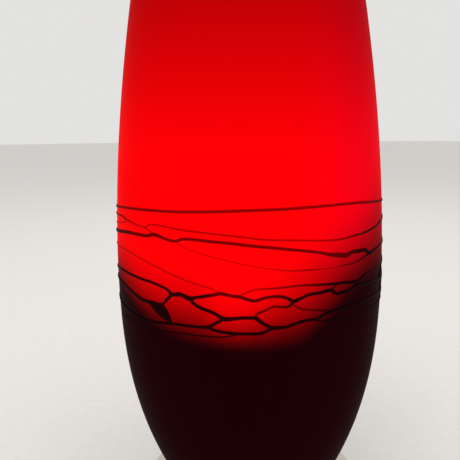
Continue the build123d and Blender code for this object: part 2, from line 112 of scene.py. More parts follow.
def grain(tree, shader, size, strength, depth, detail=3.0, stretch=(1, 1, 1)):
    """Relief of one grain size over the whole piece. Gives the noise, for the colour to follow."""
    at = add(tree, "ShaderNodeTexCoord").outputs["Object"]
    stretched = add(tree, "ShaderNodeMapping", {}, {"Vector": at, "Scale": stretch})
    noise = add(tree, "ShaderNodeTexNoise", {},
                {"Vector": stretched.outputs[0], "Scale": 1 / size, "Detail": detail})
    relief = add(tree, "ShaderNodeBump", {},
                 {"Height": noise.outputs["Fac"], "Strength": strength, "Distance": depth})
    tree.links.new(relief.outputs[0], shader.inputs["Normal"])
    return noise.outputs["Fac"]


def drift(tree, shader, share, dark, light, low=0.3, high=0.7):
    """Base colour that drifts from one tone to another as a share goes from low to high."""
    part = add(tree, "ShaderNodeMapRange", {}, {"Value": share, "From Min": low, "From Max": high})
    tone = add(tree, "ShaderNodeMix", {"data_type": "RGBA"},
               {0: part.outputs["Result"], 6: linear(dark), 7: linear(light)})
    tree.links.new(tone.outputs[2], shader.inputs["Base Color"])


# Cast iron: dull and dark, with the grain of the sand.
iron, tree, shader = finish("cast_iron", Metallic=0.6, Roughness=0.7)
grains = grain(tree, shader, size=1.4 * MM, strength=0.7, depth=0.3 * MM)
drift(tree, shader, grains, "#202022", "#3a3a3c")
dress(iron, "ballast")

# Cover under the foot. Pressed steel sheet, coated with black powder and screwed to the weight.
# Powder coat: satin black with a fine orange-peel skin.
powder, tree, shader = finish("powder_coated_steel", Roughness=0.48)
grains = grain(tree, shader, size=0.9 * MM, strength=0.3, depth=0.1 * MM, detail=1)
drift(tree, shader, grains, "#151517", "#1d1d20")
dress(powder, "base_cover")

# Cover screws, earth stud and earth nut. Zinc-plated steel; the stud is welded to the shell.
# Zinc: pale grey, with a faint drift from bluish to yellowish.
zinc, tree, shader = finish("zinc_plated_steel", Metallic=1.0, Roughness=0.34)
grains = grain(tree, shader, size=2.5 * MM, strength=0.15, depth=0.05 * MM)
drift(tree, shader, grains, "#9aa0a8", "#bdb9ac")
dress(zinc, "base_cover_screws", "earth_stud", "earth_nut")

# Pad that the lamp stands on. Pressed wool felt, cut round and glued to the cover.
# Felt: dark and matt, with short fibres that lie in its plane.
felt, tree, shader = finish("wool_felt", Roughness=0.95, Specular_IOR_Level=0.2, Sheen_Weight=0.35,
                            Sheen_Roughness=0.5)
grains = grain(tree, shader, size=0.8 * MM, strength=0.8, depth=0.3 * MM, detail=5,
               stretch=(1, 0.35, 1))
drift(tree, shader, grains, "#15191a", "#2b302d")
dress(felt, "felt_pad")

# Cord inlet ring, gasket under the glass and gasket on the glass floor. Moulded rubber, pressed
# into place dry. Rubber: black and matt, a little dusty in its finest grain.
rubber, tree, shader = finish("moulded_rubber", Roughness=0.62, Specular_IOR_Level=0.35)
grains = grain(tree, shader, size=0.5 * MM, strength=0.25, depth=0.05 * MM, detail=2)
drift(tree, shader, grains, "#111112", "#1b1b1c")
dress(rubber, "cord_grommet", "seat_gasket", "floor_gasket")

# Terminal block. Moulded polyamide, screwed under the foot's top.
# Undyed polyamide: milky and a little translucent.
polyamide, tree, shader = finish("natural_polyamide", Roughness=0.42, Subsurface_Weight=0.15,
                                 Subsurface_Scale=1 * MM)
grains = grain(tree, shader, size=0.6 * MM, strength=0.12, depth=0.05 * MM)
drift(tree, shader, grains, "#d6d3c8", "#e2e0d6")
dress(polyamide, "terminal_block")

# Brass pieces: terminal screws, earth tag, the lampholder's contact tongue and terminals, and the
# bulb's contact. Stamped or turned brass: warm and bright, with fine drawing lines.
brass, tree, shader = finish("stamped_brass", Metallic=1.0, Roughness=0.27)
grains = grain(tree, shader, size=1.6 * MM, strength=0.2, depth=0.04 * MM, detail=4,
               stretch=(1, 1, 0.2))
drift(tree, shader, grains, "#b98f45", "#d4b368")
dress(brass, "terminal_screws", "earth_tag", "centre_contact", "holder_terminals", "bulb_contact")

# Push switch in the foot's rear. Housing and threaded bush are moulded plastic, satin black; the
# button is polished, and fingers have worn its top a little dull in the middle.
switch_plastic, tree, shader = finish("moulded_black_plastic", Roughness=0.45)
grains = grain(tree, shader, size=0.4 * MM, strength=0.15, depth=0.04 * MM, detail=2)
drift(tree, shader, grains, "#121213", "#19191a")
dress(switch_plastic, "switch_housing")

worn_radius = 3.5 * MM
button_low, button_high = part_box("switch_button")
button_top = ((button_low.x + button_high.x) / 2, (button_low.y + button_high.y) / 2, button_high.z)
button, tree, shader = finish("polished_black_plastic", Base_Color=linear("#101011"))
at = add(tree, "ShaderNodeTexCoord").outputs["Object"]
off = add(tree, "ShaderNodeVectorMath", {"operation": "DISTANCE"}, {0: at, 1: button_top})
worn = add(tree, "ShaderNodeMapRange", {"interpolation_type": "SMOOTHSTEP"},
           {"Value": off.outputs["Value"], "From Min": 0.0, "From Max": worn_radius,
            "To Min": 0.42, "To Max": 0.14})
tree.links.new(worn.outputs["Result"], shader.inputs["Roughness"])
dress(button, "switch_button")

# Washers and nuts on the stem, which clamp foot and glass. Plated steel: neutral grey, half
# bright, with the lines of the bar that they were cut from.
plated, tree, shader = finish("half_bright_plated_steel", Metallic=1.0, Roughness=0.3)
grains = grain(tree, shader, size=1.2 * MM, strength=0.2, depth=0.04 * MM, detail=3,
               stretch=(1, 1, 0.3))
drift(tree, shader, grains, "#a3a4a6", "#c3c2be")
dress(plated, "stem_washer", "stem_nut", "clamp_washer", "clamp_nut")

# Stem. Drawn steel tube that carries the lampholder, with a thread of 1 mm pitch rolled over its
# whole length, then plated. The nuts run on that thread.
stem_radius = 5.0         # mm, as are the sizes below
stem_bore = 3.4
stem_pitch = 1.0
stem_thread_depth = 0.55
stem_step = 0.25
stem_sides = 32
stem_low, stem_high = (corner.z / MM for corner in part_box("stem_tube"))


def sketched(name, points, edges=(), faces=()):
    """New object of plain points, edges and faces."""
    mesh = bpy.data.meshes.new(name)
    mesh.from_pydata(points, edges, faces)
    made = bpy.data.objects.new(name, mesh)
    bpy.context.scene.collection.objects.link(made)
    return made


def grown(name, source, tree, sizes):
    """Plain mesh object that a node tree makes from a sketch, which is then removed."""
    growing = source.modifiers.new(name, "NODES")
    growing.node_group = tree
    for socket in tree.interface.items_tree:
        if socket.in_out == "INPUT" and socket.name in sizes:
            growing[socket.identifier] = sizes[socket.name]
    depsgraph = bpy.context.evaluated_depsgraph_get()
    mesh = bpy.data.meshes.new_from_object(source.evaluated_get(depsgraph))
    made = bpy.data.objects.new(name, mesh)
    bpy.context.scene.collection.objects.link(made)
    bpy.data.objects.remove(source)
    made.name = name
    return made


# A lathe: turns a closed outline, drawn as radius and height, about the Z axis.
arbor = 1 * MM            # circle that the outline is swept round, taken off its radii
lathe = bpy.data.node_groups.new("lathe", "GeometryNodeTree")
for name, kind in (("Outline", "NodeSocketGeometry"), ("Sides", "NodeSocketInt"),
                   ("Finish", "NodeSocketMaterial")):
    lathe.interface.new_socket(name, in_out="INPUT", socket_type=kind)
lathe.interface.new_socket("Turned", in_out="OUTPUT", socket_type="NodeSocketGeometry")
given = add(lathe, "NodeGroupInput").outputs
outline = add(lathe, "GeometryNodeMeshToCurve", {}, {"Mesh": given["Outline"]})
upright = add(lathe, "GeometryNodeTransform", {},
              {"Geometry": outline.outputs[0], "Translation": (-arbor, 0, 0), "Scale": (1, -1, 1)})
circle = add(lathe, "GeometryNodeCurvePrimitiveCircle", {},
             {"Resolution": given["Sides"], "Radius": arbor})
swept = add(lathe, "GeometryNodeCurveToMesh", {},
            {"Curve": circle.outputs[0], "Profile Curve": upright.outputs[0]})
outwards = add(lathe, "GeometryNodeFlipFaces", {}, {"Mesh": swept.outputs[0]})
soft = add(lathe, "GeometryNodeSetShadeSmooth", {}, {"Geometry": outwards.outputs[0]})
real = add(lathe, "GeometryNodeRealizeInstances", {}, {"Geometry": soft.outputs[0]})
dressed = add(lathe, "GeometryNodeSetMaterial", {},
              {"Geometry": real.outputs[0], "Material": given["Finish"]})
add(lathe, "NodeGroupOutput", {}, {"Turned": dressed.outputs[0]})


def turned(name, outline, sides, material):
    """Piece turned on the lathe from a closed outline of (radius, height) in mm."""
    points = [(radius * MM, height * MM, 0) for radius, height in outline]
    loop = sketched(name, points, [(i, (i + 1) % len(points)) for i in range(len(points))])
    return grown(name, loop, lathe, {"Sides": sides, "Finish": material})


# A pair of thread rollers: presses a right-hand screw thread with round crests into a turned wall.
# It runs in and out over one pitch at each end.
roller = bpy.data.node_groups.new("thread_roller", "GeometryNodeTree")
roller.interface.new_socket("Blank", in_out="INPUT", socket_type="NodeSocketGeometry")
for name in ("Pitch", "Depth", "Low", "High"):
    roller.interface.new_socket(name, in_out="INPUT", socket_type="NodeSocketFloat")
roller.interface.new_socket("Finish", in_out="INPUT", socket_type="NodeSocketMaterial")
roller.interface.new_socket("Threaded", in_out="OUTPUT", socket_type="NodeSocketGeometry")
given = add(roller, "NodeGroupInput").outputs
at = add(roller, "GeometryNodeInputPosition").outputs[0]
apart = add(roller, "ShaderNodeSeparateXYZ", {}, {0: at}).outputs
angle = add(roller, "ShaderNodeMath", {"operation": "ARCTAN2"}, {0: apart["Y"], 1: apart["X"]})
turns = add(roller, "ShaderNodeMath", {"operation": "DIVIDE"}, {0: apart["Z"], 1: given["Pitch"]})
round_by = add(roller, "ShaderNodeMath", {"operation": "MULTIPLY"},
               {0: turns.outputs[0], 1: 2 * math.pi})
phase = add(roller, "ShaderNodeMath", {"operation": "SUBTRACT"},
            {0: round_by.outputs[0], 1: angle.outputs[0]})
crest = add(roller, "ShaderNodeMath", {"operation": "COSINE"}, {0: phase.outputs[0]})
pressed = add(roller, "ShaderNodeMapRange", {},
              {"Value": crest.outputs[0], "From Min": -1.0, "To Min": given["Depth"],
               "To Max": 0.0})
low_end = add(roller, "ShaderNodeMath", {"operation": "ADD"}, {0: given["Low"], 1: given["Pitch"]})
high_end = add(roller, "ShaderNodeMath", {"operation": "SUBTRACT"},
               {0: given["High"], 1: given["Pitch"]})
run_in = add(roller, "ShaderNodeMapRange", {},
             {"Value": apart["Z"], "From Min": given["Low"], "From Max": low_end.outputs[0]})
run_out = add(roller, "ShaderNodeMapRange", {},
              {"Value": apart["Z"], "From Min": given["High"], "From Max": high_end.outputs[0]})
share = add(roller, "ShaderNodeMath", {"operation": "MULTIPLY"},
            {0: run_in.outputs[0], 1: run_out.outputs[0]})
depth = add(roller, "ShaderNodeMath", {"operation": "MULTIPLY"},
            {0: pressed.outputs[0], 1: share.outputs[0]})
inwards = add(roller, "ShaderNodeVectorMath", {"operation": "MULTIPLY"}, {0: at, 1: (-1, -1, 0)})
straight = add(roller, "ShaderNodeVectorMath", {"operation": "NORMALIZE"}, {0: inwards.outputs[0]})
moved = add(roller, "ShaderNodeVectorMath", {"operation": "SCALE"},
            {0: straight.outputs[0], "Scale": depth.outputs[0]})
laid = add(roller, "GeometryNodeSetPosition", {},
           {"Geometry": given["Blank"], "Offset": moved.outputs[0]})
real = add(roller, "GeometryNodeRealizeInstances", {}, {"Geometry": laid.outputs[0]})
dressed = add(roller, "GeometryNodeSetMaterial", {},
              {"Geometry": real.outputs[0], "Material": given["Finish"]})
add(roller, "NodeGroupOutput", {}, {"Threaded": dressed.outputs[0]})


def rolled(blank, pitch, depth, low, high):
    """Thread a turned piece between two heights, in mm; a depth below zero presses outwards."""
    name, material = blank.name, blank.data.materials[0]
    blank.name = name + "_blank"
    return grown(name, blank, roller,
                 {"Pitch": pitch * MM, "Depth": depth * MM, "Low": low * MM, "High": high * MM,
                  "Finish": material})


def spaced(low, high, step):
    """Even heights from low to high, about a step apart."""
    count = math.ceil((high - low) / step)
    return [low + (high - low) * i / count for i in range(count + 1)]


stem_steel, tree, shader = finish("rolled_plated_steel", Metallic=1.0, Roughness=0.28)
grains = grain(tree, shader, size=1.0 * MM, strength=0.1, depth=0.03 * MM, detail=3)
drift(tree, shader, grains, "#a9a9a8", "#bdbcb8")
stem_outline = ([(stem_bore, stem_high), (stem_bore, stem_low)]
                + [(stem_radius, height) for height in spaced(stem_low, stem_high, stem_step)])
stem = rolled(turned("threaded_stem", stem_outline, stem_sides, stem_steel),
              stem_pitch, stem_thread_depth, stem_low, stem_high)
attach(stem, "lamp")
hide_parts("stem_tube")

# The vase. One piece of blown and cased glass: saturated red over the upper part, nearly black
# towards its foot, partly from a dark casing and partly as painted shade below the bulb's light.
# The mouth is cut and fire polished, and the floor has a hole for the stem.
widest_radius = 90.0      # mm, as are the sizes below
foot_radius = 48.0
mouth_radius = 66.0
ring_height = 165.0       # underside to the widest circle
crown_height = 211.5      # widest circle to the mouth
belly_power = 2.42
shoulder_power = 1.85
glass_wall = 4.0
glass_floor = 8.0
hole_radius = 7.25
foot_round = 5.0
floor_round = 11.0
vase_sides = 192
glass_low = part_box("glass_body")[0].z / MM
ring_level = glass_low + ring_height
mouth_level = ring_level + crown_height

# How much of the bulb's light the glass shows, from 0 to 1, for the vase and for the threads on it.
# Each curve goes round the glass, in degrees from the front towards +X, or up it, in mm above the
# widest circle. The first two are the heights where the light begins and where it is full.
lower_edge = [(-180, -13), (-140, -11), (-115, -6), (-90, 0), (-66, 2), (-54, -3), (-40, -11),
              (-24, -17), (0, -19), (16, -19), (24, -13), (32, -4), (40, 4), (52, 9), (70, 6),
              (95, 3), (120, -4), (150, -10), (180, -13)]
upper_edge = [(-180, 32), (-140, 36), (-100, 41), (-60, 41), (-40, 32), (-20, 29), (-6, 14),
              (2, 19), (10, 31), (18, 42), (28, 55), (40, 62), (52, 73), (66, 86), (90, 80),
              (120, 58), (150, 40), (180, 32)]
share_round = [(-180, 0.92), (-90, 0.93), (-66, 0.95), (-45, 0.98), (-30, 1), (25, 1), (40, 0.93),
               (54, 0.87), (64, 0.83), (90, 0.82), (130, 0.88), (180, 0.92)]
share_up = [(0, 1), (74, 1), (85, 0.99), (95, 0.96), (104, 0.905), (123, 0.765), (142, 0.64),
            (161, 0.53), (crown_height, 0.4)]
glow = bpy.data.node_groups.new("bulb_light_in_glass", "ShaderNodeTree")
glow.interface.new_socket("Light", in_out="OUTPUT", socket_type="NodeSocketFloat")
at = add(glow, "ShaderNodeTexCoord").outputs["Object"]
apart = add(glow, "ShaderNodeSeparateXYZ", {}, {0: at})
forward = add(glow, "ShaderNodeMath", {"operation": "MULTIPLY"}, {0: apart.outputs["Y"], 1: -1.0})
angle = add(glow, "ShaderNodeMath", {"operation": "ARCTAN2"},
            {0: apart.outputs["X"], 1: forward.outputs[0]})
turn = add(glow, "ShaderNodeMapRange", {},
           {"Value": angle.outputs[0], "From Min": -math.pi, "From Max": math.pi})
height = add(glow, "ShaderNodeMath", {"operation": "MULTIPLY_ADD"},
             {0: apart.outputs["Z"], 1: 1 / MM, 2: -ring_level})
rise = add(glow, "ShaderNodeMapRange", {}, {"Value": height.outputs[0], "From Max": crown_height})
# A curve node runs from 0 to 1 both ways, so what it takes and gives is stretched to real spans.
edge_span = (-40.0, 100.0)    # mm above the widest circle
followed = []
for source, points, (left, right), (low, high) in (
        (turn, lower_edge, (-180, 180), edge_span), (turn, upper_edge, (-180, 180), edge_span),
        (turn, share_round, (-180, 180), (0, 1)), (rise, share_up, (0, crown_height), (0, 1))):
    curve = add(glow, "ShaderNodeFloatCurve", {}, {"Value": source.outputs["Result"]})
    line = curve.mapping.curves[0]
    ends = {0: 0, len(points) - 1: -1}
    for i, (x, y) in enumerate(points):
        place = (x - left) / (right - left), (y - low) / (high - low)
        spot = line.points[ends[i]] if i in ends else line.points.new(*place)
        spot.location = place
    curve.mapping.update()
    followed.append(add(glow, "ShaderNodeMapRange", {},
                        {"Value": curve.outputs[0], "To Min": low, "To Max": high}))
dark_below, bright_above, round_share, up_share = (made.outputs["Result"] for made in followed)
lit = add(glow, "ShaderNodeMapRange", {"interpolation_type": "SMOOTHSTEP"},
          {"Value": height.outputs[0], "From Min": dark_below, "From Max": bright_above})
sideways = add(glow, "ShaderNodeMath", {"operation": "MULTIPLY"},
               {0: lit.outputs["Result"], 1: round_share})
light = add(glow, "ShaderNodeMath", {"operation": "MULTIPLY"},
            {0: sideways.outputs[0], 1: up_share})
add(glow, "NodeGroupOutput", {}, {"Light": light.outputs[0]})

# Cased art glass: smooth and glossy, with long soft waves from blowing. It shines from inside, so
# its own skin reflects little beside its light.
wave_size = 60 * MM
pink_reflection_from = 25 * MM    # painted reflection: towards +X the glow turns pinker, as pinkish surroundings would show
pink_reflection_at = 75 * MM
red_glass, tree, shader = finish("blown_red_glass", Roughness=0.1, Specular_IOR_Level=0.0,
                                 Coat_Weight=0.05, Coat_Roughness=0.06, Coat_IOR=1.2,
                                 Emission_Strength=1.0)
grain(tree, shader, size=wave_size, strength=0.12, depth=1.0 * MM, detail=1)
shown = add(tree, "ShaderNodeGroup", {"node_tree": glow}).outputs["Light"]
# Painted shade: the base colour, like the glow, darkens where the bulb's light share is low.
drift(tree, shader, shown, "#150103", "#500003", low=0.0, high=1.0)
at = add(tree, "ShaderNodeTexCoord").outputs["Object"]
apart = add(tree, "ShaderNodeSeparateXYZ", {}, {0: at})
# Painted reflection: the glow's colour goes from red to a pinker crimson towards +X.
pink_reflection_share = add(tree, "ShaderNodeMapRange", {},
              {"Value": apart.outputs["X"], "From Min": pink_reflection_from, "From Max": pink_reflection_at})
bright = add(tree, "ShaderNodeMix", {"data_type": "RGBA"},
             {0: pink_reflection_share.outputs["Result"], 6: linear("#f90002"), 7: linear("#f70018")})
shine = add(tree, "ShaderNodeMix", {"data_type": "RGBA"},
            {0: shown, 6: linear("#100001"), 7: bright.outputs[2]})
tree.links.new(shine.outputs[2], shader.inputs["Emission Color"])

# Inner casing: the same red without the dark outside, lit by the bulb and dimmer towards the floor.
casing_tones = [(0.0, "#1c0002"), (0.18, "#380002"), (0.32, "#840000"), (0.46, "#e20000"),
                (0.66, "#ee0000"), (0.84, "#d40000"), (1.0, "#b00000")]
red_casing, tree, shader = finish("red_inner_casing", Base_Color=linear("#480003"), Roughness=0.12,
                                  Specular_IOR_Level=0.0, Coat_Weight=0.3, Coat_Roughness=0.06,
                                  Coat_IOR=1.3, Emission_Strength=1.0)
at = add(tree, "ShaderNodeTexCoord").outputs["Object"]
apart = add(tree, "ShaderNodeSeparateXYZ", {}, {0: at})
share = add(tree, "ShaderNodeMapRange", {},
            {"Value": apart.outputs["Z"], "From Min": glass_low * MM, "From Max": mouth_level * MM})
tones = add(tree, "ShaderNodeValToRGB", {}, {0: share.outputs["Result"]})
tones.color_ramp.interpolation = "EASE"
ramp = tones.color_ramp.elements
ends = {0: 0, len(casing_tones) - 1: -1}
for i, (place, colour) in enumerate(casing_tones):
    stop = ramp[ends[i]] if i in ends else ramp.new(place)
    stop.position = place
    stop.color = linear(colour)
tree.links.new(tones.outputs["Color"], shader.inputs["Emission Color"])


def vase_radius(height):
    """Outer radius at a height: two power curves that meet at the widest circle."""
    above, below = max(height - ring_level, 0), max(ring_level - height, 0)
    shoulder = (widest_radius - mouth_radius) * (above / crown_height) ** shoulder_power
    belly = (widest_radius - foot_radius) * (below / ring_height) ** belly_power
    return widest_radius - shoulder - belly


def rounded(before, corner, after, steps=8):
    """Points of a soft corner between two points of an outline."""
    before, corner, after = Vector(before), Vector(corner), Vector(after)
    shares = [i / steps for i in range(steps + 1)]
    return [before.lerp(corner, s).lerp(corner.lerp(after, s), s) for s in shares]


wall_step = 5.0
inner_low = glass_low + glass_floor
inner_foot = vase_radius(inner_low) - glass_wall
rim_low = mouth_level - glass_wall / 2
rim_middle = mouth_radius - glass_wall / 2
outer_heights = spaced(glass_low + foot_round, rim_low, wall_step)
inner_heights = spaced(inner_low + floor_round, rim_low, wall_step)
outside = [(vase_radius(z), z) for z in outer_heights]
inside = [(vase_radius(z) - glass_wall, z) for z in inner_heights][::-1]
vase_outline = (
    [(hole_radius, glass_low), (foot_radius / 2, glass_low)]
    + rounded((foot_radius - foot_round, glass_low), (foot_radius, glass_low), outside[0])
    + outside[1:-1]
    + rounded(outside[-1], (mouth_radius, mouth_level), (rim_middle, mouth_level))
    + rounded((rim_middle, mouth_level), (mouth_radius - glass_wall, mouth_level), inside[0])[1:]
    + inside[1:-1]
    + rounded(inside[-1], (inner_foot, inner_low), (inner_foot - floor_round, inner_low))
    + [(foot_radius / 2, inner_low), (hole_radius, inner_low)])
vase = turned("vase", vase_outline, vase_sides, red_glass)
vase.data.materials.append(red_casing)
for face in vase.data.polygons:
    on_floor = face.normal.z > 0 and face.center.z < (inner_low + floor_round) * MM
    if on_floor or face.normal.dot(Vector((face.center.x, face.center.y, 0))) < 0:
        face.material_index = 1
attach(vase, "lamp")
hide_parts("glass_body")

# Threads on the vase. Black glass, drawn thin from a hot gather and trailed round the turning
# vase, where they melt on; they cross, join and pull into a web. The finest let some light through.

